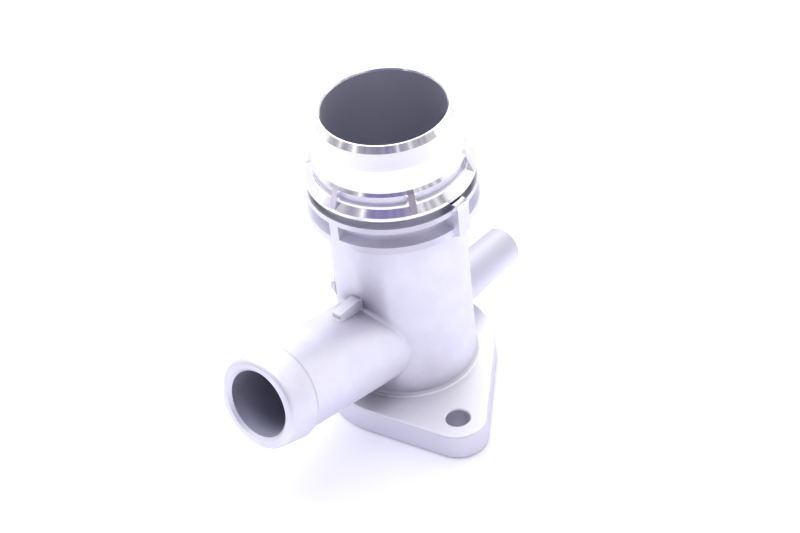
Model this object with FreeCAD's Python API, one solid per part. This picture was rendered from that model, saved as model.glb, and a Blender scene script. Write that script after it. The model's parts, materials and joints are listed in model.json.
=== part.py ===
"""Coolant outlet connector, cast and machined in aluminium as one piece.

The origin is the middle of the port in the flange's underside, +Z runs up the
body to the quick-connect spigot, and the hose pipe points along -X. The small
pipe leaves the body on the other side, along +X. All sizes are millimetres.
"""
import FreeCAD, Part
import math
import os

from FreeCAD import Vector

# Flange: a plate with two bolt holes, its shape the hull of two bolt lobes and
# two wider shoulders beside the body
flange_thickness = 8.3
bolt_pitch = 66.0
bolt_line_angle = 63.5
bolt_hole_radius = 3.5
bolt_hole_chamfer = 0.4
lobe_radius = 8.3
shoulder_radius = 24.4
shoulder_offset = 4.0
shoulder_angle = 33.0
flange_edge_round = 0.7
flange_foot_chamfer = 0.4

# Port and face-seal groove in the underside
port_radius = 16.4
seal_groove_inner_radius = 18.4
seal_groove_width = 3.3
seal_groove_depth = 2.1

# Body tube between flange and spigot
body_radius = 19.5
body_foot_fillet = 1.0

# Quick-connect spigot, heights above the flange's underside
overall_height = 97.0
spigot_bore_radius = 17.5
spigot_bore_depth = 33.0
spigot_bore_chamfer = 0.4
rim_radius = 18.4
lead_in_radius = 19.6
lead_in_height = 1.8
sealing_radius = 21.0
sealing_top_drop = 6.6
sealing_bottom_drop = 13.95

# Web ring under the sealing band: cast recesses between webs. Each web slopes straight
# down to the clip ring, and the web angles are those of three webs in half a turn
web_ring_radius = 21.8
web_ring_step = 0.8
web_ring_flare = 0.2
recess_radius = 20.9
recess_top_gap = 0.1
recess_bottom_drop = 17.8
recess_corner_cut = 0.8
web_angles = (-1.5, 56.3, 118.5)
web_width = 1.9

# Clip ring: a cone that ends in a narrow rim, above the clip groove
cone_top_drop = 18.6
clip_ring_radius = 23.9
clip_ring_drop = 20.3
clip_groove_drop = 21.4
clip_groove_radius = 21.4
clip_groove_width = 2.35

# Cast collar under the clip groove, hollowed between upright ribs
collar_radius = 24.3
collar_ring_height = 1.75
collar_pocket_height = 4.7
collar_pocket_radius = 21.0
collar_lip_height = 2.2
collar_skirt_height = 2.4
rib_count = 4
rib_width = 3.1
clip_turn = -1.5

# Locating key that stands proud of the collar on one side
key_angle = -90.0
key_width = 4.6
key_radius = 26.3
key_top_gap = 0.45
key_foot_start = 1.5
key_foot_height = 4.2

# Small cast nub on the side of the body, sloped underneath
nub_angle = 136.0
nub_width = 3.2
nub_top_height = 39.6
nub_face_height = 1.8
nub_slope_height = 3.4
nub_reach = 1.3

# Hose pipe on -X with a conical sealing bead at its end
pipe_axis_height = 21.4
pipe_tilt = 11.7
pipe_radius = 13.3
pipe_bore_radius = 10.0
pipe_length = 64.4
bead_length = 9.3
bead_rear_radius = 14.3
bead_front_radius = 13.5
bead_lip_round = 1.3
bead_lip_steps = 3
pipe_bore_chamfer = 0.9
pipe_root_fillet = 1.0

# Lug on top of the hose pipe, close to the body. It rises above the pipe at its front end
lug_length = 8.9
lug_width = 3.2
lug_rise = 1.85
lug_near_body = 19.5
lug_edge_round = 0.5
lug_foot_fillet = 0.5

# Small pipe on +X, tapered towards its end
small_pipe_height = 17.7
small_pipe_length = 45.5
small_pipe_end_radius = 6.0
small_pipe_root_radius = 7.2
small_pipe_bore_radius = 4.0
small_pipe_end_chamfer = 0.6
small_pipe_root_fillet = 1.0

# How far cutting tools run past the face that they cut
overrun = 1.0

# Where the turned surfaces close on themselves, clear of both pipes
seam_turn = 100.0

UP = Vector(0, 0, 1)
ORIGIN = Vector(0, 0, 0)


def polar(radius, degrees, height=0.0):
    """A point at a radius and an angle from +X."""
    angle = math.radians(degrees)
    return Vector(radius * math.cos(angle), radius * math.sin(angle), height)


def revolved(profile):
    """Turn a closed profile of (radius, height) points about the Z axis."""
    points = [Vector(radius, 0, height) for radius, height in profile]
    wire = Part.makePolygon(points + points[:1])
    return Part.Face(wire).revolve(ORIGIN, UP, 360)


def tangent_outline(circles):
    """Close a hull round circles given as (centre, radius), anticlockwise."""
    edges = []
    touches = []
    for i, (centre, radius) in enumerate(circles):
        following, next_radius = circles[(i + 1) % len(circles)]
        across = following - centre
        heading = math.atan2(across.y, across.x)
        lean = math.acos((radius - next_radius) / across.Length)
        outward = math.degrees(heading - lean)
        touches.append((outward, centre + polar(radius, outward), following + polar(next_radius, outward)))
    for i, (centre, radius) in enumerate(circles):
        arrive_angle, _, arrive = touches[i - 1]
        leave_angle, leave, landing = touches[i]
        sweep = (leave_angle - arrive_angle) % 360
        middle = centre + polar(radius, arrive_angle + sweep / 2)
        edges.append(Part.Arc(arrive, middle, leave).toShape())
        edges.append(Part.makeLine(leave, landing))
    return Part.Wire(edges)


def sector_ring(inner, outer, bottom, top, angles, gap):
    """Rings between two radii, broken by upright walls of one width."""
    profile = [(inner, bottom), (outer, bottom), (outer, top), (inner, top)]
    ring = revolved(profile)
    walls = []
    for angle in angles:
        wall = Part.makeBox(outer + overrun, gap, top - bottom + 2 * overrun)
        wall.translate(Vector(0, -gap / 2, bottom - overrun))
        wall.rotate(ORIGIN, UP, angle)
        walls.append(wall)
    return ring.cut(walls)


def is_line(edge):
    """Whether an edge is straight."""
    return edge.Curve.TypeId == "Part::GeomLine"


def edges_near(shape, test):
    """The edges of a shape whose bounding box passes a test."""
    return [edge for edge in shape.Edges if test(edge.BoundBox)]


def bolt_centres():
    """The two bolt positions, opposite each other about the body."""
    return [polar(bolt_pitch / 2, bolt_line_angle + turn) for turn in (0, 180)]


def flange_plate():
    """The bolt flange, rounded round its top and chamfered round its machined underside."""
    first, second = bolt_centres()
    shoulder = polar(shoulder_offset, shoulder_angle)
    circles = [
        (first, lobe_radius),
        (shoulder * -1, shoulder_radius),
        (second, lobe_radius),
        (shoulder, shoulder_radius),
    ]
    plate = Part.Face(tangent_outline(circles)).extrude(Vector(0, 0, flange_thickness))
    underside = edges_near(plate, lambda box: box.ZMax < 0.01)
    plate = plate.makeChamfer(flange_foot_chamfer, underside)
    top = edges_near(plate, lambda box: box.ZMin > flange_thickness - 0.01)
    return plate.makeFillet(flange_edge_round, top)


def turned_heights():
    """Heights of the clip groove and the collar under the spigot."""
    groove_top = overall_height - clip_groove_drop
    groove_bottom = groove_top - clip_groove_width
    pocket_top = groove_bottom - collar_ring_height
    pocket_bottom = pocket_top - collar_pocket_height
    collar_bottom = pocket_bottom - collar_lip_height
    return groove_top, groove_bottom, pocket_top, pocket_bottom, collar_bottom


def body_and_spigot():
    """Body tube, collar and turned spigot as one turned blank."""
    top = overall_height
    groove_top, groove_bottom, _, _, collar_bottom = turned_heights()
    profile = [
        (0, 0),
        (body_radius, 0),
        (body_radius, collar_bottom - collar_skirt_height),
        (collar_radius, collar_bottom),
        (collar_radius, groove_bottom),
        (clip_groove_radius, groove_bottom),
        (clip_groove_radius, groove_top),
        (clip_ring_radius, groove_top),
        (clip_ring_radius, top - clip_ring_drop),
        (web_ring_radius + web_ring_flare, top - cone_top_drop),
        (web_ring_radius, top - sealing_bottom_drop - web_ring_step),
        (sealing_radius, top - sealing_bottom_drop),
        (sealing_radius, top - sealing_top_drop),
        (lead_in_radius, top - lead_in_height),
        (rim_radius, top),
        (0, top),
    ]
    blank = revolved(profile)
    blank.rotate(ORIGIN, UP, seam_turn)
    return blank


def body_foot():
    """Narrow foot ring that eases the body into the flange in two slopes."""
    inner = body_radius - overrun
    outer = body_radius + body_foot_fillet
    ease = body_foot_fillet * (1 - math.cos(math.pi / 4))
    profile = [
        (inner, flange_thickness - overrun),
        (outer, flange_thickness - overrun),
        (outer, flange_thickness),
        (body_radius + ease, flange_thickness + ease),
        (body_radius, flange_thickness + body_foot_fillet),
        (inner, flange_thickness + body_foot_fillet),
    ]
    foot = revolved(profile)
    foot.rotate(ORIGIN, UP, seam_turn)
    return foot


def web_places():
    """Height of the webs' top end and the angles of all webs, each with one opposite."""
    angles = [angle + turn for turn in (0, 180) for angle in web_angles]
    return overall_height - sealing_bottom_drop - web_ring_step, angles


def cast_recesses():
    """Shallow recesses under the sealing band, between the webs, with their corners cut off."""
    web_top, angles = web_places()
    recesses = sector_ring(
        recess_radius,
        web_ring_radius + overrun,
        overall_height - recess_bottom_drop,
        web_top - recess_top_gap,
        angles,
        web_width,
    )
    corners = [edge for edge in recesses.Edges if edge.BoundBox.ZLength < 0.01 and is_line(edge)]
    return recesses.makeChamfer(recess_corner_cut, corners)


def sloped_webs():
    """Webs across the recesses and the cone, from the web ring's top edge to the clip ring's."""
    web_top, angles = web_places()
    web_foot = overall_height - clip_ring_drop
    root = recess_radius - overrun
    profile = [(root, web_foot), (clip_ring_radius, web_foot), (web_ring_radius, web_top), (root, web_top)]
    ring = revolved(profile)
    ring.rotate(ORIGIN, UP, seam_turn)
    walls = []
    for angle in angles:
        wall = Part.makeBox(clip_ring_radius + overrun, web_width, web_top - web_foot)
        wall.translate(Vector(0, -web_width / 2, web_foot))
        wall.rotate(ORIGIN, UP, angle)
        walls.append(ring.common(wall))
    return walls


def collar_pockets():
    """Deep pockets in the collar, between its upright ribs."""
    _, _, pocket_top, pocket_bottom, _ = turned_heights()
    angles = [clip_turn + 180 + 360 * i / rib_count for i in range(rib_count)]
    return sector_ring(
        collar_pocket_radius,
        collar_radius + overrun,
        pocket_bottom,
        pocket_top,
        angles,
        rib_width,
    )


def locating_key():
    """Upright key across the clip groove, with a foot that fades into the body."""
    groove_top, _, _, pocket_bottom, collar_bottom = turned_heights()
    key_top = groove_top - key_top_gap
    outline = [
        (body_radius - overrun, collar_bottom - key_foot_height),
        (key_radius, pocket_bottom - key_foot_start),
        (key_radius, key_top),
        (clip_groove_radius - overrun, key_top),
    ]
    points = [Vector(radius, -key_width / 2, height) for radius, height in outline]
    face = Part.Face(Part.makePolygon(points + points[:1]))
    key = face.extrude(Vector(0, key_width, 0))
    key.rotate(ORIGIN, UP, key_angle + clip_turn)
    return key


def casting_nub():
    """Small nub on the side of the body, level on top and sloped underneath."""
    face_radius = body_radius + nub_reach
    face_bottom = nub_top_height - nub_face_height
    outline = [
        (body_radius - overrun, nub_top_height),
        (body_radius - overrun, face_bottom - nub_slope_height),
        (body_radius, face_bottom - nub_slope_height),
        (face_radius, face_bottom),
        (face_radius, nub_top_height),
    ]
    points = [Vector(radius, -nub_width / 2, height) for radius, height in outline]
    nub = Part.Face(Part.makePolygon(points + points[:1])).extrude(Vector(0, nub_width, 0))
    nub.rotate(ORIGIN, UP, nub_angle)
    return nub


def along_pipe(shape):
    """Lay a shape made about +Z along the hose pipe's axis."""
    shape.rotate(ORIGIN, Vector(0, 1, 0), -90 + pipe_tilt)
    shape.translate(Vector(0, 0, pipe_axis_height))
    return shape


def hose_pipe():
    """Hose pipe with the conical bead that holds the hose, its lip rounded in short slopes."""
    bead_start = pipe_length - bead_length
    middle_radius = bead_front_radius - bead_lip_round
    middle_height = pipe_length - bead_lip_round
    turns = [math.pi / 2 * step / bead_lip_steps for step in range(bead_lip_steps + 1)]
    lip = [
        (middle_radius + bead_lip_round * math.cos(turn), middle_height + bead_lip_round * math.sin(turn))
        for turn in turns
    ]
    profile = [(0, 0), (pipe_radius, 0), (pipe_radius, bead_start), (bead_rear_radius, bead_start)]
    return along_pipe(revolved(profile + lip + [(0, pipe_length)]))


def hose_bore():
    """Bore of the hose pipe, chamfered at its mouth."""
    mouth = pipe_bore_radius + pipe_bore_chamfer
    profile = [
        (0, 0),
        (pipe_bore_radius, 0),
        (pipe_bore_radius, pipe_length - pipe_bore_chamfer),
        (mouth, pipe_length),
        (mouth, pipe_length + overrun),
        (0, pipe_length + overrun),
    ]
    return along_pipe(revolved(profile))


def lug_top_height():
    """Height of the lug's top, from the top of the hose pipe under the lug's front end."""
    tilt = math.radians(pipe_tilt)
    front = lug_near_body + lug_length
    pipe_top = pipe_axis_height + pipe_radius / math.cos(tilt) + front * math.tan(tilt)
    return pipe_top + lug_rise


def pipe_lug():
    """Upright lug on top of the hose pipe."""
    top = lug_top_height()
    reach = lug_length + lug_near_body - body_radius + overrun
    lug = Part.makeBox(reach, lug_width, top - pipe_axis_height)
    lug.translate(Vector(-lug_near_body - lug_length, -lug_width / 2, pipe_axis_height))
    outer = edges_near(lug, lambda box: box.XMax < -lug_near_body and box.ZMax > top - 0.01)
    lug = lug.makeFillet(lug_edge_round, outer)
    return lug


def lug_foot(shape):
    """Edges round the lug's foot, where its walls stand on the hose pipe."""
    half = lug_width / 2 + 0.01
    front = -lug_near_body - lug_length - 0.01
    lowest = pipe_axis_height + pipe_radius
    highest = lug_top_height() - 2 * lug_edge_round
    found = []
    for edge in shape.Edges:
        box = edge.BoundBox
        beside = front < box.XMin and box.XMax < -lug_near_body + lug_edge_round
        beside = beside and -half < box.YMin and box.YMax < half
        upright = box.XLength + box.YLength < 0.01
        if beside and lowest < box.ZMin < highest and not upright:
            found.append(edge)
    return found


def along_small_pipe(shape):
    """Lay a shape made about +Z along the small pipe's axis."""
    shape.rotate(ORIGIN, Vector(0, 1, 0), 90)
    shape.translate(Vector(0, 0, small_pipe_height))
    return shape


def small_pipe():
    """Small pipe, tapered as cast."""
    chamfer = small_pipe_end_chamfer
    profile = [
        (0, 0),
        (small_pipe_root_radius, 0),
        (small_pipe_end_radius, small_pipe_length - chamfer),
        (small_pipe_end_radius - chamfer, small_pipe_length),
        (0, small_pipe_length),
    ]
    return along_small_pipe(revolved(profile))


def small_bore():
    """Bore of the small pipe."""
    return along_small_pipe(Part.makeCylinder(small_pipe_bore_radius, small_pipe_length + overrun))


def main_bore():
    """Bore from the port in the flange up through the spigot."""
    top = overall_height
    step = spigot_bore_radius - port_radius
    counterbore = top - spigot_bore_depth
    profile = [
        (0, -overrun),
        (port_radius, -overrun),
        (port_radius, counterbore - step),
        (spigot_bore_radius, counterbore),
        (spigot_bore_radius, top - spigot_bore_chamfer),
        (spigot_bore_radius + spigot_bore_chamfer, top),
        (spigot_bore_radius + spigot_bore_chamfer, top + overrun),
        (0, top + overrun),
    ]
    return revolved(profile)


def seal_groove():
    """Face-seal groove round the port."""
    outer = Part.makeCylinder(seal_groove_inner_radius + seal_groove_width, seal_groove_depth)
    return outer.cut(Part.makeCylinder(seal_groove_inner_radius, seal_groove_depth))


def bolt_hole(centre):
    """One bolt hole, chamfered at the top."""
    mouth = bolt_hole_radius + bolt_hole_chamfer
    profile = [
        (0, -overrun),
        (bolt_hole_radius, -overrun),
        (bolt_hole_radius, flange_thickness - bolt_hole_chamfer),
        (mouth, flange_thickness),
        (mouth, flange_thickness + overrun),
        (0, flange_thickness + overrun),
    ]
    hole = revolved(profile)
    hole.translate(centre)
    return hole


def junction(shape, low, high):
    """Curved edges where a pipe meets the body, inside a box of two corners."""
    found = []
    for edge in shape.Edges:
        box = edge.BoundBox
        inside = low.x < box.XMin and box.XMax < high.x and low.z < box.ZMin and box.ZMax < high.z
        if inside and edge.Curve.TypeId not in ("Part::GeomLine", "Part::GeomCircle"):
            found.append(edge)
    return found


def outlet_casting():
    """The whole connector: cast form first, then the machined cuts."""
    reach = body_radius + overrun
    _, _, _, _, collar_bottom = turned_heights()
    skirt = collar_bottom - collar_skirt_height
    form = body_and_spigot().fuse([hose_pipe(), small_pipe()]).removeSplitter()
    form = form.makeFillet(pipe_root_fillet, junction(form, Vector(-reach, 0, 0), Vector(0, 0, skirt)))
    form = form.makeFillet(small_pipe_root_fillet, junction(form, Vector(0, 0, 0), Vector(reach, 0, skirt)))
    form = form.fuse(pipe_lug())
    form = form.makeFillet(lug_foot_fillet, lug_foot(form))
    form = form.cut([cast_recesses(), collar_pockets()])
    form = form.fuse([flange_plate(), body_foot(), locating_key(), casting_nub()] + sloped_webs())
    form = form.removeSplitter()
    cuts = [main_bore(), hose_bore(), small_bore(), seal_groove()]
    cuts += [bolt_hole(centre) for centre in bolt_centres()]
    return form.cut(cuts)


os.makedirs("parts", exist_ok=True)
casting = outlet_casting()
casting.exportStep("parts/outlet_casting.step")
print("outlet_casting", casting.isValid(), len(casting.Solids), round(casting.Volume), casting.BoundBox)
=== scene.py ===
# %% [markdown]
# # A cast coolant outlet in aluminium
#
# This lesson dresses one metal part: a coolant outlet with a bolt flange, an upright body, a hose
# pipe, a small pipe and a turned quick-connect spigot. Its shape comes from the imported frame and
# isn't changed here. What Blender adds is the surface: a blasted casting skin where the mould made
# the metal, and bright turned metal where a lathe cut it.

import json
import math

import bpy
import numpy as np
from mathutils import Matrix, Vector


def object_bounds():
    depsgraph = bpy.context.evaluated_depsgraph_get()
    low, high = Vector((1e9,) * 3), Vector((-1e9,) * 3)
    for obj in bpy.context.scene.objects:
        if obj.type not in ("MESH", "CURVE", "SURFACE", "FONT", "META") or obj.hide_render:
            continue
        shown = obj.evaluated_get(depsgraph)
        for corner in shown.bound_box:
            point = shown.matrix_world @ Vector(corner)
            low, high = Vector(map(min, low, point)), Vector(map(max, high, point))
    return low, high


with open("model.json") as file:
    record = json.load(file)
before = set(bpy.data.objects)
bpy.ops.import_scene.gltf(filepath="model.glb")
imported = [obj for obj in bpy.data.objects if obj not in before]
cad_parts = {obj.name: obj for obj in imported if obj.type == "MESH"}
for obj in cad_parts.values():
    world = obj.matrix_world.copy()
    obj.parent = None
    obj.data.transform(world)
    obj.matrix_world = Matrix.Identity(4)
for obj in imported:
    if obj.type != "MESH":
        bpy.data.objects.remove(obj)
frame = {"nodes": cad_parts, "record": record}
casting = frame["nodes"]["outlet_casting"]
cad_box = [list(map(float, corner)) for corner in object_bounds()]
print("CAD box", cad_box)

# %% [markdown]
# ## Sizes from the frame
#
# Every finish below starts or stops at a place on the part: at the mouth of a bore, or where the
# lathe stopped. The record that came with the frame gives the bores as mounts, each with a mouth,
# an axis that points out of it, and a radius. Reading them here keeps the bores, the rim and the
# turned rings in step with the shape. The shades of the casting are given in millimetres.

# %% Read the bores
MM = 0.001
mounts = {mount["name"]: mount for mount in frame["record"]["mounts"]}
rim_height = cad_box[1][2]
spigot_radius = mounts["spigot"]["dims"]["r_mm"] * MM
bores = {}
for bore_name in ("spigot_bore", "hose_bore", "small_pipe"):
    mount = mounts[bore_name]
    bores[bore_name] = (mount["pos_m"], mount["axis"], mount["dims"]["r_mm"] * MM)
print("rim height", rim_height, "bores", bores)

# %% [markdown]
# ## The camera
#
# The picture was taken with a long lens from above and to one side. A camera is placed by its
# position, the point it looks at, and its roll about that line, so that the picture can be matched
# number by number. A long lens keeps the flange's edges nearly parallel, as the picture shows them.

# %% Place the camera
CAMERA_PLACE = Vector((-0.39922, -0.38384, 0.49243))
CAMERA_AIM = Vector((-0.00367, -0.00295, 0.04419))
CAMERA_ROLL = -6.452
LENS_MM = 112.5
SENSOR_WIDTH_MM = 36.0
NEAREST_SEEN, FARTHEST_SEEN = 0.05, 20.0


def looking_along(place, aim, roll_degrees):
    """Matrix of a camera at place: its -Z runs to aim, its X is level, then all turn by the roll."""
    ahead = (aim - place).normalized()
    right = ahead.cross(Vector((0, 0, 1))).normalized()
    up = right.cross(ahead)
    turn = math.radians(roll_degrees)
    across = right * math.cos(turn) + up * math.sin(turn)
    above = up * math.cos(turn) - right * math.sin(turn)
    rotation = Matrix((across, above, -ahead)).transposed()
    return Matrix.Translation(place) @ rotation.to_4x4()


camera_data = bpy.data.cameras.new("studio_camera")
camera_data.lens = LENS_MM
camera_data.sensor_width = SENSOR_WIDTH_MM
camera_data.clip_start = NEAREST_SEEN
camera_data.clip_end = FARTHEST_SEEN
camera = bpy.data.objects.new("studio_camera", camera_data)
camera.matrix_world = looking_along(CAMERA_PLACE, CAMERA_AIM, CAMERA_ROLL)
bpy.context.scene.collection.objects.link(camera)
bpy.context.scene.camera = camera
bpy.context.scene.view_settings.view_transform = "Standard"
print("camera", [round(v, 4) for v in camera.location])

# %% [markdown]
# ## Helpers for node work
#
# A material, a world and a node group are all trees of nodes. A few small helpers keep the wiring
# readable: one adds a node and fills its inputs, three do arithmetic with numbers and with vectors,
# one makes a soft edge, and two blend. An input may be a number or the output of another node, and
# every helper takes either.

# %% Helpers that add nodes


def fill_inputs(tree, node, inputs):
    """Set each input of a node to a number, or join it to the output of another node."""
    for place, value in inputs.items():
        if isinstance(value, bpy.types.NodeSocket):
            tree.links.new(value, node.inputs[place])
        else:
            node.inputs[place].default_value = value
    return node


def add_node(tree, kind, inputs=None, **settings):
    """Add a node, set its own fields, and fill its inputs."""
    made = tree.nodes.new(kind)
    for field, value in settings.items():
        setattr(made, field, value)
    return fill_inputs(tree, made, inputs or {})


def calculate(tree, operation, *values):
    """The result of one Math node for one, two or three numbers or outputs."""
    return add_node(tree, "ShaderNodeMath", dict(enumerate(values)), operation=operation).outputs[0]


def calculate_vector(tree, operation, *values):
    """The vector that one Vector Math node makes of one, two or three vectors or outputs."""
    inputs = dict(enumerate(values))
    return add_node(tree, "ShaderNodeVectorMath", inputs, operation=operation).outputs["Vector"]


def measure_vector(tree, operation, *values):
    """The number that one Vector Math node makes: a length, or the dot product of two vectors."""
    inputs = dict(enumerate(values))
    return add_node(tree, "ShaderNodeVectorMath", inputs, operation=operation).outputs["Value"]


def soft_step(tree, value, start, end, before=0.0, after=1.0):
    """Goes smoothly from before to after while value goes from start to end, and is flat outside."""
    inputs = {"Value": value, "From Min": start, "From Max": end, "To Min": before, "To Max": after}
    return add_node(tree, "ShaderNodeMapRange", inputs, interpolation_type="SMOOTHSTEP").outputs[0]


def blend_colours(tree, amount, first, second):
    """First colour where amount is 0, second where it is 1, and a mixture between."""
    inputs = {0: amount, 6: first, 7: second}
    return add_node(tree, "ShaderNodeMix", inputs, data_type="RGBA").outputs[2]


def blend_numbers(tree, amount, first, second):
    """First number where amount is 0, second where it is 1, and a mixture between."""
    inputs = {0: amount, 2: first, 3: second}
    return add_node(tree, "ShaderNodeMix", inputs, data_type="FLOAT").outputs[0]


print("node helpers ready")

# %% [markdown]
# A node group is a tree of its own that several materials can use. It is made once, with named
# inputs and outputs, and then put into each tree like any other node.

# %% Helpers that make groups and materials
NUMBER, DIRECTION = "NodeSocketFloat", "NodeSocketVector"


def new_group(name, inputs, outputs):
    """An empty node group with named inputs and outputs of the given kinds."""
    group = bpy.data.node_groups.new(name, "ShaderNodeTree")
    for socket_name, kind in inputs.items():
        group.interface.new_socket(socket_name, in_out="INPUT", socket_type=kind)
    for socket_name, kind in outputs.items():
        group.interface.new_socket(socket_name, in_out="OUTPUT", socket_type=kind)
    return group, group.nodes.new("NodeGroupInput"), group.nodes.new("NodeGroupOutput")


def use_group(tree, group, inputs):
    """Put a node group into a tree and fill its inputs."""
    return add_node(tree, "ShaderNodeGroup", inputs, node_tree=group)


def new_material(name):
    """A material with an empty tree, and its output node."""
    material = bpy.data.materials.new(name)
    material.use_nodes = True
    material.node_tree.nodes.clear()
    return material, material.node_tree, material.node_tree.nodes.new("ShaderNodeOutputMaterial")


print("group and material helpers ready")

# %% [markdown]
# ## Grain
#
# Blasting a casting with fine grit leaves a surface of tiny dents, a few tenths of a millimetre
# across, with slightly lighter and darker patches that are wider. Paper has a fine tooth of the
# same sort. Both come from one node group: small noise for the dents and wide noise for the
# patches. It gives only a height and a tone, and each material decides what to do with them.

# %% Make the grain group
grain_group, entry, leave = new_group(
    "fine_grain",
    {"Place": DIRECTION, "Dents per Metre": NUMBER, "Patches per Metre": NUMBER},
    {"Height": NUMBER, "Tone": NUMBER},
)
dents = add_node(grain_group, "ShaderNodeTexNoise", {
    "Vector": entry.outputs["Place"],
    "Scale": entry.outputs["Dents per Metre"],
    "Detail": 3.0,
    "Roughness": 0.6,
})
patches = add_node(grain_group, "ShaderNodeTexNoise", {
    "Vector": entry.outputs["Place"],
    "Scale": entry.outputs["Patches per Metre"],
    "Detail": 4.0,
    "Roughness": 0.55,
})
grain_group.links.new(dents.outputs["Fac"], leave.inputs["Height"])
grain_group.links.new(patches.outputs["Fac"], leave.inputs["Tone"])
print("group", grain_group.name)

# %% [markdown]
# ## The table
#
# The part stands on a white studio table. One large round sheet does this. It is worked out as a
# grid whose rings get wider as they run outwards, so that the shadow near the part falls on small
# faces and the far table costs almost nothing. It lies a hair below the part's foot, so that the
# two faces don't fight for the same place.

# %% Make the table
TABLE_RADIUS = 2.0
TABLE_RINGS = 32
TABLE_SPOKES = 96
TABLE_HEIGHT = -0.05 * MM
MIDDLE_RADIUS = 0.1 * MM


def surface_from_grid(name, points, closed_across=False):
    """Mesh from a grid of points with shape (rows, columns, 3). Each face joins four neighbours."""
    rows, columns = points.shape[:2]
    index = np.arange(rows * columns).reshape(rows, columns)
    after = np.roll(index, -1, axis=1) if closed_across else index[:, 1:]
    here = index if closed_across else index[:, :-1]
    faces = np.stack([here[:-1], here[1:], after[1:], after[:-1]], axis=-1).reshape(-1, 4)
    mesh = bpy.data.meshes.new(name)
    mesh.from_pydata(points.reshape(-1, 3), [], faces.tolist())
    mesh.validate()
    mesh.shade_smooth()
    piece = bpy.data.objects.new(name, mesh)
    bpy.context.scene.collection.objects.link(piece)
    return piece


def table_points(radius, rings, spokes):
    """Flat disc: ring k lies at radius times (k / rings) squared, at even angles, at one height."""
    reach = radius * (np.arange(rings + 1) / rings) ** 2
    reach[0] = MIDDLE_RADIUS
    angle = np.linspace(0, 2 * np.pi, spokes, endpoint=False)
    x = reach[:, None] * np.cos(angle)
    y = reach[:, None] * np.sin(angle)
    return np.stack([x, y, np.full_like(x, TABLE_HEIGHT)], axis=-1)


table = surface_from_grid("studio_table", table_points(TABLE_RADIUS, TABLE_RINGS, TABLE_SPOKES), True)
print("table faces", len(table.data.polygons))

# %% [markdown]
# The paper is a plain matt white. In the picture it is so light that only the part's soft shadow
# shows on it. A small glow is added for the camera and, weaker, for mirror rays, so that the clear
# paper reaches full white in the picture, while the light that falls on the part stays as it is. The
# glow grows with the distance from the part, so the real shadow is kept and stays close to the part,
# and the weaker glow near the part adds a little painted shade round it.

# %% Give the table its paper white
PAPER_WHITE = (0.89, 0.89, 0.99, 1.0)
GLOW_TINT = (0.98, 0.98, 1.06, 1.0)
GLOW_NEAR, GLOW_FAR = 0.27, 0.40
GLOW_START, GLOW_END = 0.035, 0.10
GLOW_IN_METAL = 0.40

paper, paper_tree, paper_output = new_material("table_paper")
paper_place = add_node(paper_tree, "ShaderNodeTexCoord").outputs["Object"]
tooth = use_group(paper_tree, grain_group, {
    "Place": paper_place, "Dents per Metre": 2500.0, "Patches per Metre": 40.0,
})
paper_bump = add_node(paper_tree, "ShaderNodeBump", {
    "Height": tooth.outputs["Height"], "Strength": 0.1, "Distance": 0.02 * MM,
})
paper_shader = add_node(paper_tree, "ShaderNodeBsdfPrincipled", {
    "Base Color": PAPER_WHITE,
    "Roughness": 0.8,
    "Specular IOR Level": 0.2,
    "Normal": paper_bump.outputs["Normal"],
})
paper_rays = add_node(paper_tree, "ShaderNodeLightPath")
in_metal = calculate(paper_tree, "MULTIPLY", paper_rays.outputs["Is Glossy Ray"], GLOW_IN_METAL)
paper_seen = calculate(paper_tree, "MAXIMUM", in_metal, paper_rays.outputs["Is Transmission Ray"])
paper_seen = calculate(paper_tree, "MAXIMUM", paper_rays.outputs["Is Camera Ray"], paper_seen)
from_middle = measure_vector(paper_tree, "LENGTH", paper_place)
# The weaker glow near the part adds painted shade round it, on top of the real shadow.
glow_here = soft_step(paper_tree, from_middle, GLOW_START, GLOW_END, GLOW_NEAR, GLOW_FAR)
paper_glow = add_node(paper_tree, "ShaderNodeEmission", {
    "Color": GLOW_TINT, "Strength": calculate(paper_tree, "MULTIPLY", paper_seen, glow_here),
})
paper_sum = add_node(paper_tree, "ShaderNodeAddShader", {
    0: paper_shader.outputs["BSDF"], 1: paper_glow.outputs["Emission"],
})
paper_tree.links.new(paper_sum.outputs["Shader"], paper_output.inputs["Surface"])
table.data.materials.append(paper)
print("material", paper.name)

# %% [markdown]
# ## The studio
#
# Turned metal is a mirror, so what stands round the part matters as much as the lamps. The picture
# shows white walls on all sides but one: the viewer's side is darker from a little over the table
# up to well above the camera, with a few bright slits in it, and the lead-in cone and the clip
# ring show it as dark bands with light streaks. The world draws this from the direction alone, so
# it stays put when the camera moves. A card is a soft-edged rectangle in that direction, given by
# its compass angle and its height above the horizon. Dark cards take light away and slits add it.

# %% Make a card for the studio walls


def card_mask(tree, compass, height, middle, half_width, level, half_height, softness):
    """1 on a rectangle of sky and 0 round it, in degrees, with an edge as wide as the softness."""
    edge = math.radians(softness) / 2
    turned = calculate(tree, "SUBTRACT", compass, math.radians(middle))
    wrapped = calculate(tree, "WRAP", turned, math.pi, -math.pi)
    beside = calculate(tree, "ABSOLUTE", wrapped)
    above = calculate(tree, "ABSOLUTE", calculate(tree, "SUBTRACT", height, math.radians(level)))
    reach = math.radians(half_width)
    rise = math.radians(half_height)
    across = soft_step(tree, beside, max(reach - edge, 0.0), reach + edge, 1.0, 0.0)
    upright = soft_step(tree, above, max(rise - edge, 0.0), rise + edge, 1.0, 0.0)
    return calculate(tree, "MULTIPLY", across, upright)


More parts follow.
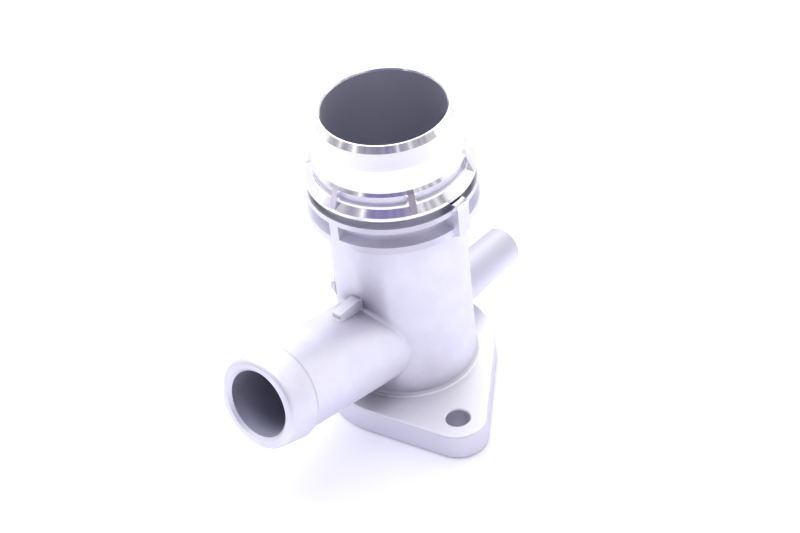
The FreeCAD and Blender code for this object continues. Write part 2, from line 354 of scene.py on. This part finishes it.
world = bpy.data.worlds.new("studio_world")
bpy.context.scene.world = world
world.use_nodes = True
world_tree = world.node_tree
world_tree.nodes.clear()
gaze = add_node(world_tree, "ShaderNodeTexCoord").outputs["Generated"]
parts_of_gaze = add_node(world_tree, "ShaderNodeSeparateXYZ", {0: gaze}).outputs
compass = calculate(world_tree, "ARCTAN2", parts_of_gaze["Y"], parts_of_gaze["X"])
height = calculate(world_tree, "ARCSINE", parts_of_gaze["Z"])
print("world directions ready")

# %% [markdown]
# A studio is lighter above than at its sides, so the wall light first rises from the horizon to the
# ceiling. Then the cards are hung. The first two are the wide, half-dark side of the room behind the
# camera and its darker middle, round the camera itself. The next two are what stands low on that
# side, over the edge of the table. The slits are gaps that let a bright wall through. Each line
# gives the compass angle of the middle, half the width, the height of the middle, half the height,
# the softness of the edge, and a colour: for a card the share of the light that it leaves, and for a
# slit the light that it adds. The dark side is a little blue, so its cards leave more blue.

# %% Hang the cards
WALL_TINT = (1.02, 1.02, 1.03)
CEILING_GAIN = (0.42, 0.42, 0.38)
CEILING_START, CEILING_FULL = math.radians(20.0), math.radians(75.0)
DARK_CARDS = [
    (222.0, 100.0, 44.0, 25.0, 22.0, (0.33, 0.31, 0.38)),
    (208.0, 34.0, 50.0, 19.0, 12.0, (0.55, 0.52, 0.84)),
    (210.0, 80.0, 4.0, 15.0, 14.0, (0.68, 0.66, 0.69)),
    (144.0, 20.0, 6.0, 14.0, 12.0, (0.45, 0.42, 0.45)),
]
BRIGHT_SLITS = [
    (170.0, 4.0, 38.0, 22.0, 4.0, (0.75, 0.75, 0.75)),
    (146.0, 3.0, 24.0, 9.0, 4.0, (0.50, 0.50, 0.50)),
    (132.0, 4.0, 44.0, 10.0, 4.0, (0.50, 0.50, 0.50)),
    (238.0, 2.5, 30.0, 10.0, 4.0, (0.60, 0.60, 0.60)),
    (259.0, 4.0, 42.0, 24.0, 4.0, (0.45, 0.45, 0.45)),
    (269.0, 1.8, 50.0, 16.0, 3.0, (0.60, 0.60, 0.60)),
    (280.0, 1.8, 50.0, 16.0, 3.0, (0.55, 0.55, 0.55)),
    (292.0, 2.2, 46.0, 16.0, 3.0, (0.60, 0.60, 0.60)),
]


def fade_light(tree, light, mask, left):
    """Light times the colour that is left, where the mask is 1, and unchanged where it is 0."""
    change = tuple(part - 1.0 for part in left)
    share = calculate_vector(tree, "MULTIPLY_ADD", mask, change, (1.0, 1.0, 1.0))
    return calculate_vector(tree, "MULTIPLY", light, share)


def add_light(tree, light, mask, colour):
    """Light plus the colour, where the mask is 1."""
    return calculate_vector(tree, "MULTIPLY_ADD", mask, colour, light)


ceiling = soft_step(world_tree, height, CEILING_START, CEILING_FULL)
wall_light = add_light(world_tree, WALL_TINT, ceiling, CEILING_GAIN)
for cards, change_light in ((DARK_CARDS, fade_light), (BRIGHT_SLITS, add_light)):
    for *rectangle, colour in cards:
        mask = card_mask(world_tree, compass, height, *rectangle)
        wall_light = change_light(world_tree, wall_light, mask, colour)
print("cards", len(DARK_CARDS), "slits", len(BRIGHT_SLITS))

# %% [markdown]
# The walls of the dark side are cloth, which hangs in upright folds. Noise along the compass alone
# gives them: it makes the cloth lighter and darker by turns, a few degrees at a time. The rough
# casting blurs the folds away, and the turned rings show them as fine upright streaks.

# %% Fold the cloth
FOLDS_PER_RADIAN = 15.0
FOLD_NOISE_LOW, FOLD_NOISE_HIGH = 0.3, 0.7
FOLD_DARKEST, FOLD_LIGHTEST = 0.60, 1.45
CLOTH_SIDE = (222.0, 112.0, 42.0, 28.0, 12.0)

folds = add_node(world_tree, "ShaderNodeTexNoise", {
    "W": compass, "Scale": FOLDS_PER_RADIAN, "Detail": 3.0, "Roughness": 0.6,
}, noise_dimensions="1D").outputs["Fac"]
fold_light = soft_step(world_tree, folds, FOLD_NOISE_LOW, FOLD_NOISE_HIGH, FOLD_DARKEST, FOLD_LIGHTEST)
cloth_side = card_mask(world_tree, compass, height, *CLOTH_SIDE)
fold_share = blend_numbers(world_tree, cloth_side, 1.0, fold_light)
wall_light = add_node(world_tree, "ShaderNodeVectorMath", {
    0: wall_light, "Scale": fold_share,
}, operation="SCALE").outputs["Vector"]
print("folds per radian", FOLDS_PER_RADIAN)

# %% [markdown]
# A ray that comes straight from the camera sees plain white at a strength of one, and every other
# ray sees the walls.

# %% Light the walls
PLAIN_WHITE = (1.0, 1.0, 1.0, 1.0)

walls = add_node(world_tree, "ShaderNodeBackground", {"Color": wall_light, "Strength": 1.0})
backdrop = add_node(world_tree, "ShaderNodeBackground", {"Color": PLAIN_WHITE, "Strength": 1.0})
rays = add_node(world_tree, "ShaderNodeLightPath").outputs
seen = calculate(world_tree, "MAXIMUM", rays["Is Camera Ray"], rays["Is Transmission Ray"])
chosen = add_node(world_tree, "ShaderNodeMixShader", {
    "Fac": seen, 1: walls.outputs["Background"], 2: backdrop.outputs["Background"],
})
add_node(world_tree, "ShaderNodeOutputWorld", {"Surface": chosen.outputs["Shader"]})
print("world", world.name)

# %% [markdown]
# Four soft boxes add direction. The one at the back and the one overhead light the tops of the pipe
# and the flange, and throw the soft shadow towards the viewer. The ones on the left and the right
# brighten the two edges of the upright body. Each line gives a name, the compass angle and the
# height above the horizon in degrees, the distance, the width and the tallness in metres, the
# power, and the colour.

# %% Place the soft boxes
LIT_POINT = Vector((0.0, 0.0, 0.045))
SOFT_BOXES = [
    ("back_soft_box", 55.0, 54.0, 1.1, 0.9, 0.7, 1.6, (1.0, 1.0, 1.0)),
    ("overhead_soft_box", 100.0, 74.0, 1.1, 0.9, 0.9, 2.0, (0.97, 0.97, 1.04)),
    ("left_soft_box", 128.0, 30.0, 1.0, 0.5, 0.7, 0.2, (1.0, 1.0, 1.0)),
    ("right_soft_box", 318.0, 26.0, 1.0, 0.5, 0.7, 0.7, (1.0, 1.0, 1.0)),
]


def soft_light(name, compass_degrees, height_degrees, distance, width, tall, power, colour):
    """A rectangular soft box in a direction from the part, turned to face it."""
    around = math.radians(compass_degrees)
    above = math.radians(height_degrees)
    level = math.cos(above)
    away = Vector((math.cos(around) * level, math.sin(around) * level, math.sin(above)))
    data = bpy.data.lights.new(name, "AREA")
    data.shape = "RECTANGLE"
    data.size = width
    data.size_y = tall
    data.energy = power
    data.color = colour
    lamp = bpy.data.objects.new(name, data)
    lamp.matrix_world = looking_along(LIT_POINT + away * distance, LIT_POINT, 0)
    bpy.context.scene.collection.objects.link(lamp)


for soft_box in SOFT_BOXES:
    soft_light(*soft_box)

# %% [markdown]
# ## Places round an axis
#
# The part is one solid of metal with three finishes: the blasted skin of the casting, the bright
# rings that the lathe left, and the dull inside of the bores. Painting faces by hand would be
# lost whenever the shape changes, so each finish is found from the place on the part. The first
# group gives how far a place lies from an axis and how far along it. A bore is everything within
# its radius of its axis, from its mouth inwards, and the second group gives that as a mask.

# %% Make the axis and bore groups
WALL_FULL, WALL_CLEAR = 0.05 * MM, 0.12 * MM
MOUTH_EDGE = 0.05 * MM

axis_group, entry, leave = new_group(
    "distance_from_axis",
    {"Place": DIRECTION, "Point": DIRECTION, "Axis": DIRECTION},
    {"Distance": NUMBER, "Along": NUMBER},
)
from_point = calculate_vector(axis_group, "SUBTRACT", entry.outputs["Place"], entry.outputs["Point"])
along = measure_vector(axis_group, "DOT_PRODUCT", from_point, entry.outputs["Axis"])
sideways = calculate_vector(axis_group, "CROSS_PRODUCT", from_point, entry.outputs["Axis"])
distance = measure_vector(axis_group, "LENGTH", sideways)
axis_group.links.new(distance, leave.inputs["Distance"])
axis_group.links.new(along, leave.inputs["Along"])

bore_group, entry, leave = new_group(
    "inside_bore",
    {"Place": DIRECTION, "Mouth": DIRECTION, "Axis": DIRECTION, "Radius": NUMBER, "Length": NUMBER},
    {"Mask": NUMBER},
)
reached = use_group(bore_group, axis_group, {
    "Place": entry.outputs["Place"], "Point": entry.outputs["Mouth"], "Axis": entry.outputs["Axis"],
})
past_wall = calculate(bore_group, "SUBTRACT", reached.outputs["Distance"], entry.outputs["Radius"])
within = soft_step(bore_group, past_wall, WALL_FULL, WALL_CLEAR, 1.0, 0.0)
depth = calculate(bore_group, "MULTIPLY", reached.outputs["Along"], -1.0)
below_mouth = soft_step(bore_group, depth, -MOUTH_EDGE, MOUTH_EDGE)
above_end = calculate(bore_group, "LESS_THAN", depth, entry.outputs["Length"])
in_length = calculate(bore_group, "MULTIPLY", below_mouth, above_end)
inside = calculate(bore_group, "MULTIPLY", within, in_length)
bore_group.links.new(inside, leave.inputs["Mask"])
print("groups", axis_group.name, bore_group.name)

# %% [markdown]
# ## Turning marks
#
# A lathe tool leaves a fine spiral, so the marks run round the axis and change only along the
# profile. Noise that reads just the distance from the axis and the height has exactly that form:
# it is the same all the way round. Each ring then spreads its reflections up and down while they
# stay sharp from side to side, which gives the picture's upright streaks.

# %% Make the turning marks group
marks_group, entry, leave = new_group(
    "turning_marks",
    {"Distance": NUMBER, "Along": NUMBER, "Marks per Metre": NUMBER},
    {"Height": NUMBER},
)
profile_place = add_node(marks_group, "ShaderNodeCombineXYZ", {
    "X": entry.outputs["Distance"], "Y": entry.outputs["Along"],
}).outputs[0]
marks = add_node(marks_group, "ShaderNodeTexNoise", {
    "Vector": profile_place, "Scale": entry.outputs["Marks per Metre"], "Detail": 2.0, "Roughness": 0.5,
}, noise_dimensions="2D")
marks_group.links.new(marks.outputs["Fac"], leave.inputs["Height"])
print("group", marks_group.name)

# %% [markdown]
# ## The metal
#
# All the finishes are the same aluminium and differ in colour, roughness and relief. The colour is
# laid on in coats: first the cast skin, then painted shade and painted light where the skin is made
# darker or lighter, then the turned metal with painted shade on its far rim, webs and groove, and last
# the bores with their painted shade and the painted light on the hose bore's lip. A coat is a mask
# and a tone, and a later coat covers an earlier one. Each mask is found from the place on the part,
# and four helpers find places.

# %% Helpers that find a place on the part


def toward(tree, place, compass_degrees):
    """How far a place lies towards a compass angle: its dot product with that level direction."""
    angle = math.radians(compass_degrees)
    return measure_vector(tree, "DOT_PRODUCT", place, (math.cos(angle), math.sin(angle), 0.0))


def height_band(tree, height_on_part, bottom, top):
    """1 between two heights and 0 elsewhere."""
    return calculate(tree, "COMPARE", height_on_part, (bottom + top) / 2, (top - bottom) / 2)


def all_of(tree, first, *others):
    """The masks multiplied together: 1 only where every one of them is 1."""
    for other in others:
        first = calculate(tree, "MULTIPLY", first, other)
    return first


def outside(tree, mask):
    """1 where the mask is 0, and 0 where it is 1."""
    return calculate(tree, "SUBTRACT", 1.0, mask)


print("place helpers ready")

# %% [markdown]
# ### The cast skin
#
# The blasted skin is a light grey with a touch of blue. The wide patches of the grain make it a
# little duller here and there, so it doesn't look like paint.

# %% Lay on the cast skin
CAST_TONE = (0.90, 0.895, 0.96, 1.0)
CAST_TONE_DULL = (0.86, 0.855, 0.925, 1.0)
PATCH_DULL, PATCH_CLEAR = 0.35, 0.65

metal, tree, metal_output = new_material("cast_aluminium")
place = add_node(tree, "ShaderNodeTexCoord").outputs["Object"]
part_of_place = add_node(tree, "ShaderNodeSeparateXYZ", {0: place}).outputs
spigot_axis = use_group(tree, axis_group, {
    "Place": place, "Point": (0.0, 0.0, 0.0), "Axis": (0.0, 0.0, 1.0),
}).outputs
spigot_distance, spigot_height = spigot_axis["Distance"], spigot_axis["Along"]
grain = use_group(tree, grain_group, {
    "Place": place, "Dents per Metre": 2600.0, "Patches per Metre": 110.0,
}).outputs
patchy = soft_step(tree, grain["Tone"], PATCH_DULL, PATCH_CLEAR)
metal_colour = blend_colours(tree, patchy, CAST_TONE_DULL, CAST_TONE)
print("cast skin", CAST_TONE, "with patches of", CAST_TONE_DULL)

# %% [markdown]
# ### The flange
#
# The bolt flange is a flat plate. Its side gets a little painted shade and is greyer than the skin,
# and its top, which looks up at the soft boxes, gets a little painted light. The height alone tells
# the two apart.

# %% Paint shade on the flange's side and light on its top
FLANGE_SIDE_TOP = 8.0 * MM
FLANGE_TOP, FLANGE_TOP_REACH = 8.3 * MM, 0.25 * MM
FLANGE_SIDE_PAINTED_SHADE = (0.84, 0.83, 0.885, 1.0)
FLANGE_TOP_PAINTED_LIGHT = (0.98, 0.975, 1.0, 1.0)

on_flange_side = calculate(tree, "LESS_THAN", spigot_height, FLANGE_SIDE_TOP)
on_flange_top = calculate(tree, "COMPARE", spigot_height, FLANGE_TOP, FLANGE_TOP_REACH)
# Painted shade on the flange's side and painted light on its top.
metal_colour = blend_colours(tree, on_flange_side, metal_colour, FLANGE_SIDE_PAINTED_SHADE)
metal_colour = blend_colours(tree, on_flange_top, metal_colour, FLANGE_TOP_PAINTED_LIGHT)
print("flange top at", FLANGE_TOP)

# %% [markdown]
# ### Painted shade in the crevices
#
# Shade is painted where a surface is hemmed in by its neighbours. The Ambient Occlusion node
# measures that: it gives 1 on open ground and falls towards 0 in a corner. Each crevice mask is full
# where that number is low and gone where it is high. On the flange's top the painted shade stays
# close to the corner. The flange's side gets less than a third of it, and the collar and the spigot a
# trace.

# %% Paint shade into the crevices
NEIGHBOURS_WITHIN = 10.0 * MM
CREVICE_SHUT, CREVICE_OPEN = 0.38, 0.82
FLANGE_TOP_SHUT, FLANGE_TOP_OPEN = 0.12, 0.54
FLANGE_SIDE_END, FLANGE_SIDE_CLEAR, FLANGE_SIDE_SHARE = 8.4 * MM, 9.0 * MM, 0.3
BODY_END, BODY_CLEAR, SPIGOT_SHARE = 60.0 * MM, 63.0 * MM, 0.12
CREVICE_PAINTED_SHADE = (0.45, 0.44, 0.50, 1.0)

openness = add_node(tree, "ShaderNodeAmbientOcclusion", {
    "Distance": NEIGHBOURS_WITHIN,
}, samples=4, only_local=True).outputs["AO"]
crevice = all_of(
    tree,
    soft_step(tree, openness, CREVICE_SHUT, CREVICE_OPEN, 1.0, 0.0),
    soft_step(tree, spigot_height, FLANGE_SIDE_END, FLANGE_SIDE_CLEAR, FLANGE_SIDE_SHARE, 1.0),
    outside(tree, on_flange_top),
)
flange_crevice = all_of(
    tree, on_flange_top, soft_step(tree, openness, FLANGE_TOP_SHUT, FLANGE_TOP_OPEN, 1.0, 0.0))
spigot_share = soft_step(tree, spigot_height, BODY_END, BODY_CLEAR, 1.0, SPIGOT_SHARE)
crevice = all_of(tree, calculate(tree, "MAXIMUM", crevice, flange_crevice), spigot_share)
# Painted shade: the crevice tone stands in for the shade in corners.
metal_colour = blend_colours(tree, crevice, metal_colour, CREVICE_PAINTED_SHADE)
print("crevices from neighbours within", NEIGHBOURS_WITHIN)

# %% [markdown]
# ### The upright body
#
# Two painted shades lie on the wall of the upright body. One is a broad strip above the hose pipe,
# where the wall faces the dark side of the room. It fades out upwards. The other is the painted
# crevice shade of the wall itself, which starts farther from the corners than elsewhere and gets
# darker.

# %% Paint shade on the upright body
STRIP_COMPASS = 196.0
STRIP_START, STRIP_FULL = 18.8 * MM, 19.5 * MM
STRIP_FADES, STRIP_ENDS = 38.0 * MM, 61.0 * MM
STRIP_WALL, STRIP_WALL_END = 19.6 * MM, 19.9 * MM
STRIP_PAINTED_SHADE = (0.70, 0.69, 0.76, 1.0)
BODY_WALL, BODY_WALL_END = 19.7 * MM, 20.6 * MM
BODY_SHUT, BODY_OPEN = 0.38, 0.86
BODY_CREVICE_PAINTED_SHADE = (0.36, 0.35, 0.40, 1.0)

on_strip = all_of(
    tree,
    soft_step(tree, toward(tree, place, STRIP_COMPASS), STRIP_START, STRIP_FULL),
    soft_step(tree, spigot_height, STRIP_FADES, STRIP_ENDS, 1.0, 0.0),
    soft_step(tree, spigot_distance, STRIP_WALL, STRIP_WALL_END, 1.0, 0.0),
)
body_crevice = all_of(
    tree,
    soft_step(tree, spigot_distance, BODY_WALL, BODY_WALL_END, 1.0, 0.0),
    soft_step(tree, spigot_height, BODY_END, BODY_CLEAR, 1.0, 0.0),
    soft_step(tree, openness, BODY_SHUT, BODY_OPEN, 1.0, 0.0),
)
# Painted shade: a strip above the hose pipe, and the wall's own crevice shade.
metal_colour = blend_colours(tree, on_strip, metal_colour, STRIP_PAINTED_SHADE)
metal_colour = blend_colours(tree, body_crevice, metal_colour, BODY_CREVICE_PAINTED_SHADE)
print("strip at compass", STRIP_COMPASS)

# %% [markdown]
# ### The small pipe and the collar
#
# The small pipe stands in the body's shade, and its upper side is darker than its lower side, which
# the table lights. The collar under the clip groove is darker on the viewer's side, where it faces
# the dark part of the room. The light alone leaves both a little too even beside the picture, so
# painted shade is laid on the small pipe's upper side and on the collar's viewer's side, and painted
# light on the small pipe's lower side.

# %% Paint shade and light on the small pipe and shade on the collar
BACK_COMPASS = 44.0
PIPE_ROOT, PIPE_CLEAR = 20.5 * MM, 23.0 * MM
PIPE_BOTTOM, PIPE_TOP = 10.5 * MM, 26.5 * MM
PIPE_DARKENS, PIPE_DARK = 15.0 * MM, 22.0 * MM
PIPE_PAINTED_LIGHT_LOW = (0.93, 0.925, 0.99, 1.0)
PIPE_PAINTED_SHADE_TOP = (0.66, 0.655, 0.74, 1.0)
LATHE_STOP = rim_height - 23.7 * MM
COLLAR_TALL = 10.0 * MM
COLLAR_SHADED, COLLAR_CLEAR = -23.0 * MM, -19.5 * MM
COLLAR_PAINTED_SHADE = (0.72, 0.71, 0.765, 1.0)

on_small_pipe = all_of(
    tree,
    soft_step(tree, part_of_place["X"], PIPE_ROOT, PIPE_CLEAR),
    height_band(tree, spigot_height, PIPE_BOTTOM, PIPE_TOP),
)
pipe_upper = soft_step(tree, spigot_height, PIPE_DARKENS, PIPE_DARK)
pipe_painted_light_and_shade = blend_colours(tree, pipe_upper, PIPE_PAINTED_LIGHT_LOW, PIPE_PAINTED_SHADE_TOP)
toward_back = toward(tree, place, BACK_COMPASS)
in_collar_shade = all_of(
    tree,
    soft_step(tree, toward_back, COLLAR_SHADED, COLLAR_CLEAR, 1.0, 0.0),
    height_band(tree, spigot_height, LATHE_STOP - COLLAR_TALL, LATHE_STOP),
)
# Painted shade on the small pipe's upper side, painted light on its lower side, and painted shade on
# the collar's viewer's side.
metal_colour = blend_colours(tree, on_small_pipe, metal_colour, pipe_painted_light_and_shade)
metal_colour = blend_colours(tree, in_collar_shade, metal_colour, COLLAR_PAINTED_SHADE)
print("lathe stops at height", round(LATHE_STOP, 5))

# %% [markdown]
# ### Painted light and shade on small places
#
# Three small places get painted light and shade. A thin line of painted shadow stands behind the
# bead of the hose pipe, where the bead steps down to the pipe. The nub on the body's far left edge
# gets painted light and is the lightest place of the skin. The chamfer round the foot gets painted
# shade, because it looks down at its own shadow.

# %% Paint shadow behind the bead, light on the nub and shade on the foot
BEAD_STEP = -9.95 * MM
BEAD_LINE_FULL, BEAD_LINE_END = 0.6 * MM, 0.9 * MM
BEAD_LINE_SIDE = -30.0 * MM
BEAD_STEP_PAINTED_SHADOW = (0.72, 0.71, 0.80, 1.0)
NUB_SIDE, NUB_FOOT = 12.0 * MM, 19.6 * MM
NUB_BOTTOM, NUB_TOP = 30.0 * MM, 56.0 * MM
NUB_PAINTED_LIGHT = (1.0, 1.0, 1.0, 1.0)
FOOT_FULL, FOOT_END = 0.36 * MM, 0.55 * MM
FOOT_PAINTED_SHADE = (0.26, 0.25, 0.31, 1.0)

hose_axis = use_group(tree, axis_group, {
    "Place": place, "Point": mounts["hose_pipe"]["pos_m"], "Axis": mounts["hose_pipe"]["axis"],
}).outputs
from_step = calculate(tree, "ABSOLUTE", calculate(tree, "SUBTRACT", hose_axis["Along"], BEAD_STEP))
on_bead_line = all_of(
    tree,
    soft_step(tree, from_step, BEAD_LINE_FULL, BEAD_LINE_END, 1.0, 0.0),
    calculate(tree, "LESS_THAN", part_of_place["X"], BEAD_LINE_SIDE),
)
on_nub = all_of(
    tree,
    calculate(tree, "GREATER_THAN", part_of_place["Y"], NUB_SIDE),
    calculate(tree, "GREATER_THAN", spigot_distance, NUB_FOOT),
    height_band(tree, spigot_height, NUB_BOTTOM, NUB_TOP),
)
on_foot = soft_step(tree, spigot_height, FOOT_FULL, FOOT_END, 1.0, 0.0)
# Painted shadow behind the bead, painted light on the nub, and painted shade on the foot chamfer.
metal_colour = blend_colours(tree, on_bead_line, metal_colour, BEAD_STEP_PAINTED_SHADOW)
metal_colour = blend_colours(tree, on_nub, metal_colour, NUB_PAINTED_LIGHT)
metal_colour = blend_colours(tree, on_foot, metal_colour, FOOT_PAINTED_SHADE)
print("bead line", -BEAD_STEP, "behind the mouth")

# %% [markdown]
# ### What the lathe cut
#
# The lathe cut everything above the floor of the clip groove, apart from the cast recesses under
# the sealing band. The far half of the rim is darker with painted shade, because the chamfer there
# looks back at the dark side of the room.

# %% Lay on the turned metal and paint shade on the far rim
LATHE_STOP_EDGE = 0.1 * MM
RECESS_TOP, RECESS_BOTTOM = rim_height - 14.8 * MM, rim_height - 17.9 * MM
RECESS_REACH = 0.4 * MM
RIM_DEEP = 0.6 * MM
FAR_RIM_STARTS, FAR_RIM_FULL = -6.0 * MM, 8.0 * MM
TURNED_TONE = (0.95, 0.945, 0.97, 1.0)
FAR_RIM_PAINTED_SHADE = (0.72, 0.72, 0.83, 1.0)

in_recess = all_of(
    tree,
    calculate(tree, "LESS_THAN", spigot_distance, spigot_radius + RECESS_REACH),
    height_band(tree, spigot_height, RECESS_BOTTOM, RECESS_TOP),
)
turned = all_of(
    tree,
    soft_step(tree, spigot_height, LATHE_STOP - LATHE_STOP_EDGE, LATHE_STOP),
    outside(tree, in_recess),
)
on_far_rim = all_of(
    tree,
    soft_step(tree, toward_back, FAR_RIM_STARTS, FAR_RIM_FULL),
    calculate(tree, "GREATER_THAN", spigot_height, rim_height - RIM_DEEP),
)
metal_colour = blend_colours(tree, turned, metal_colour, TURNED_TONE)
# Painted shade on the far half of the rim.
metal_colour = blend_colours(tree, on_far_rim, metal_colour, FAR_RIM_PAINTED_SHADE)
print("recesses from height", round(RECESS_BOTTOM, 5), "to", round(RECESS_TOP, 5))

# %% [markdown]
# ### Webs and groove
#
# The webs between the recesses are machined too, but duller: their tones are partly their own duller
# metal and partly painted shade, and the clip groove gets painted shade. A web runs straight out from
# the axis, so its mask is a strip on either side of a line through the axis, and one strip serves
# the web opposite as well. The middle one of the three gets the darkest painted shade, because it
# faces the camera and the dark side of the room.

# %% Dull the webs, and paint shade on the webs and the groove
WEB_HALF_WIDTH, WEB_EDGE = 0.95 * MM, 0.05 * MM
WEB_TOP, WEB_FOOT = rim_height - 13.9 * MM, rim_height - 20.25 * MM
WEB_TONES_AND_PAINTED_SHADE = (
    (-1.5, (0.84, 0.79, 0.86, 1.0)),
    (56.3, (0.47, 0.425, 0.475, 1.0)),
    (118.5, (0.80, 0.76, 0.82, 1.0)),
)
GROOVE_TOP, GROOVE_FLOOR = rim_height - 21.35 * MM, rim_height - 23.8 * MM
GROOVE_DARK, GROOVE_MOUTH = 23.4 * MM, 24.0 * MM
GROOVE_PAINTED_SHADE = (0.66, 0.655, 0.70, 1.0)

at_web_height = height_band(tree, spigot_height, WEB_FOOT, WEB_TOP)
web_masks = []
# Each web's tone is partly its own duller metal and partly painted shade.
for web_angle, web_tone_and_shade in WEB_TONES_AND_PAINTED_SHADE:
    off_web = calculate(tree, "ABSOLUTE", toward(tree, place, web_angle + 90.0))
    strip = soft_step(tree, off_web, WEB_HALF_WIDTH - WEB_EDGE, WEB_HALF_WIDTH + WEB_EDGE, 1.0, 0.0)
    on_web = all_of(tree, strip, at_web_height)
    web_masks.append(on_web)
    metal_colour = blend_colours(tree, on_web, metal_colour, web_tone_and_shade)
in_groove = all_of(
    tree,
    soft_step(tree, spigot_distance, GROOVE_DARK, GROOVE_MOUTH, 1.0, 0.0),
    height_band(tree, spigot_height, GROOVE_FLOOR, GROOVE_TOP),
)
# Painted shade in the clip groove.
metal_colour = blend_colours(tree, in_groove, metal_colour, GROOVE_PAINTED_SHADE)
print("webs", len(web_masks) * 2)

# %% [markdown]
# ### The bores
#
# A bore is seen through its mouth alone, so little light gets in and comes out again. A darker tone
# paints that shade into the bore, and a dull surface stands for its rough cast wall. Each line gives
# the bore, how deep its painted shade reaches in metres, its roughness and the tone of its painted
# shade. The lower wall of the hose bore gets painted light near the mouth, because the light from
# above falls on it.

# %% Paint shade into the bores and light on the hose lip
BORE_ROUGHNESS_AND_PAINTED_SHADE = (
    ("spigot_bore", 0.2, 0.56, (0.69, 0.69, 0.765, 1.0)),
    ("hose_bore", 0.062, 0.72, (0.50, 0.495, 0.57, 1.0)),
    ("small_pipe", 0.045, 0.56, (0.60, 0.60, 0.67, 1.0)),
)
LIP_STARTS, LIP_FULL = -11.0 * MM, -2.0 * MM
LIP_LOW, LIP_HIGH = 23.0 * MM, 33.0 * MM
HOSE_LIP_PAINTED_LIGHT = (0.86, 0.88, 1.0, 1.0)

bore_masks = {}
# Each bore's tone is painted shade inside it.
for bore_name, reach, _, bore_painted_shade in BORE_ROUGHNESS_AND_PAINTED_SHADE:
    mouth, axis, radius = bores[bore_name]
    bore_masks[bore_name] = use_group(tree, bore_group, {
        "Place": place, "Mouth": mouth, "Axis": axis, "Radius": radius, "Length": reach,
    }).outputs["Mask"]
    metal_colour = blend_colours(tree, bore_masks[bore_name], metal_colour, bore_painted_shade)
on_hose_lip = all_of(
    tree,
    bore_masks["hose_bore"],
    soft_step(tree, hose_axis["Along"], LIP_STARTS, LIP_FULL),
    soft_step(tree, spigot_height, LIP_LOW, LIP_HIGH, 1.0, 0.0),
)
# Painted light on the lower wall of the hose bore near its mouth.
metal_colour = blend_colours(tree, on_hose_lip, metal_colour, HOSE_LIP_PAINTED_LIGHT)
print("bores", list(bore_masks))

# %% [markdown]
# ### Roughness and relief
#
# The blasted skin is rough, the turned rings are nearly a mirror, and the webs lie between the two.
# The relief is the grain on the skin and the much weaker turning marks on the rings. A bevel normal
# rounds the sharp edges of the solid by a fraction of a millimetre, as blasting and deburring do,
# so that every edge catches a thin line of light.

# %% Set the roughness
DENT_LOW, DENT_HIGH = 0.3, 0.7
CAST_SMOOTHEST, CAST_ROUGHEST = 0.52, 0.60
TURNED_ROUGHNESS = 0.13
WEB_ROUGHNESS = 0.34

metal_roughness = soft_step(tree, grain["Height"], DENT_LOW, DENT_HIGH, CAST_SMOOTHEST, CAST_ROUGHEST)
metal_roughness = blend_numbers(tree, on_flange_top, metal_roughness, CAST_ROUGHEST)
metal_roughness = blend_numbers(tree, turned, metal_roughness, TURNED_ROUGHNESS)
for on_web in web_masks:
    metal_roughness = blend_numbers(tree, on_web, metal_roughness, WEB_ROUGHNESS)
for bore_name, _, bore_roughness, _ in BORE_ROUGHNESS_AND_PAINTED_SHADE:
    metal_roughness = blend_numbers(tree, bore_masks[bore_name], metal_roughness, bore_roughness)
print("roughness from", TURNED_ROUGHNESS, "to", CAST_ROUGHEST)

# %% Raise the relief and put the metal on
TURNING_SHARE = 0.12
EDGE_RADIUS = 0.15 * MM
DENT_DEPTH = 0.03 * MM

turning = use_group(tree, marks_group, {
    "Distance": spigot_distance, "Along": spigot_height, "Marks per Metre": 4200.0,
}).outputs["Height"]
turned_relief = calculate(tree, "MULTIPLY", turning, TURNING_SHARE)
relief = blend_numbers(tree, turned, grain["Height"], turned_relief)
rounded = add_node(tree, "ShaderNodeBevel", {"Radius": EDGE_RADIUS}, samples=4)
bump = add_node(tree, "ShaderNodeBump", {
    "Height": relief, "Strength": 0.35, "Distance": DENT_DEPTH, "Normal": rounded.outputs["Normal"],
})
shader = add_node(tree, "ShaderNodeBsdfPrincipled", {
    "Base Color": metal_colour,
    "Metallic": 1.0,
    "Roughness": metal_roughness,
    "Normal": bump.outputs["Normal"],
})
tree.links.new(shader.outputs["BSDF"], metal_output.inputs["Surface"])
casting.data.materials.clear()
casting.data.materials.append(metal)
print("material", metal.name, "nodes", len(tree.nodes))
